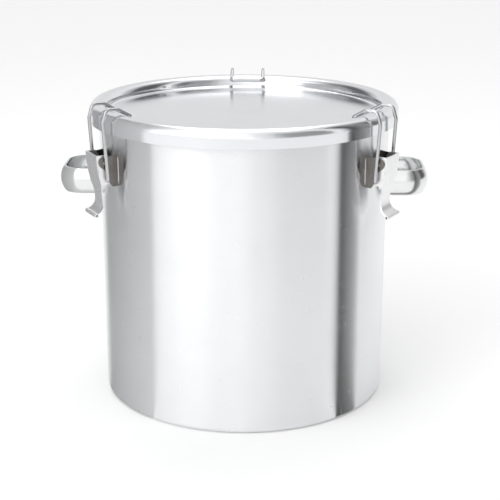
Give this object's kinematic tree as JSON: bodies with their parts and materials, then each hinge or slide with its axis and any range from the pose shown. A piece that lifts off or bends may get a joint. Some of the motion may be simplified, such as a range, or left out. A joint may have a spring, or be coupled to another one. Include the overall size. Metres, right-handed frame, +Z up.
{
  "type": "milk can",
  "caption": "Straight-sided stainless milk can with a recessed clamp-down lid, draw latches with wire bails and side carrying handles.",
  "frame": {"origin": "centre of the flat underside, on the surface the can stands on", "axes": "+Z up along the can's axis; X through the two handles; +Y towards the rear latch"},
  "size_m": [0.386, 0.3362, 0.3186],
  "materials": {
    "polished_body": "buffed bright, fine vertical light bands",
    "polished_base": "buffed bright",
    "polished_lid": "mirror polished",
    "handle_steel": "satin to bright",
    "pressed_steel": "tumbled bright",
    "bright_wire": "drawn bright wire",
    "pin_steel": "turned",
    "seal_rubber": "matt, off white"
  },
  "bodies": {
    "can": {"bottom_plate": "polished_base", "body_shell": "polished_body", "left_handle": "handle_steel", "right_handle": "handle_steel", "left_latch_bracket": "pressed_steel", "left_latch_pivot_pin": "pin_steel", "right_latch_bracket": "pressed_steel", "right_latch_pivot_pin": "pin_steel", "rear_latch_bracket": "pressed_steel", "rear_latch_pivot_pin": "pin_steel"},
    "lid": {"lid_panel": "polished_lid", "lid_gasket": "seal_rubber"},
    "left_lever": {"left_latch_lever": "pressed_steel"},
    "left_bail": {"left_latch_bail": "bright_wire"},
    "right_lever": {"right_latch_lever": "pressed_steel"},
    "right_bail": {"right_latch_bail": "bright_wire"},
    "rear_lever": {"rear_latch_lever": "pressed_steel"},
    "rear_bail": {"rear_latch_bail": "bright_wire"}
  },
  "joints": [
    {"name": "lid_lift", "type": "slide", "parent": "can", "child": "lid", "axis": [0, 0, 1], "range_m": [0, 0.25]},
    {"name": "left_lever_turn", "type": "hinge", "parent": "can", "child": "left_lever", "pos_m": [-0.14159, -0.08175, 0.264], "axis": [-0.5, 0.866, 0], "range_deg": [0, 120]},
    {"name": "left_bail_swing", "type": "hinge", "parent": "left_lever", "child": "left_bail", "pos_m": [-0.1403, -0.081, 0.246], "axis": [-0.5, 0.866, 0], "range_deg": [-95, 0]},
    {"name": "right_lever_turn", "type": "hinge", "parent": "can", "child": "right_lever", "pos_m": [0.14159, -0.08175, 0.264], "axis": [-0.5, -0.866, 0], "range_deg": [0, 120]},
    {"name": "right_bail_swing", "type": "hinge", "parent": "right_lever", "child": "right_bail", "pos_m": [0.1403, -0.081, 0.246], "axis": [-0.5, -0.866, 0], "range_deg": [-95, 0]},
    {"name": "rear_lever_turn", "type": "hinge", "parent": "can", "child": "rear_lever", "pos_m": [0, 0.1635, 0.264], "axis": [1, 0, 0], "range_deg": [0, 120]},
    {"name": "rear_bail_swing", "type": "hinge", "parent": "rear_lever", "child": "rear_bail", "pos_m": [0, 0.162, 0.246], "axis": [1, 0, 0], "range_deg": [-95, 0]}
  ],
  "couplings": [
    {"joint": "left_bail_swing", "follows": "left_lever_turn", "ratio": -0.76},
    {"joint": "right_bail_swing", "follows": "right_lever_turn", "ratio": -0.76},
    {"joint": "rear_bail_swing", "follows": "rear_lever_turn", "ratio": -0.76}
  ]
}
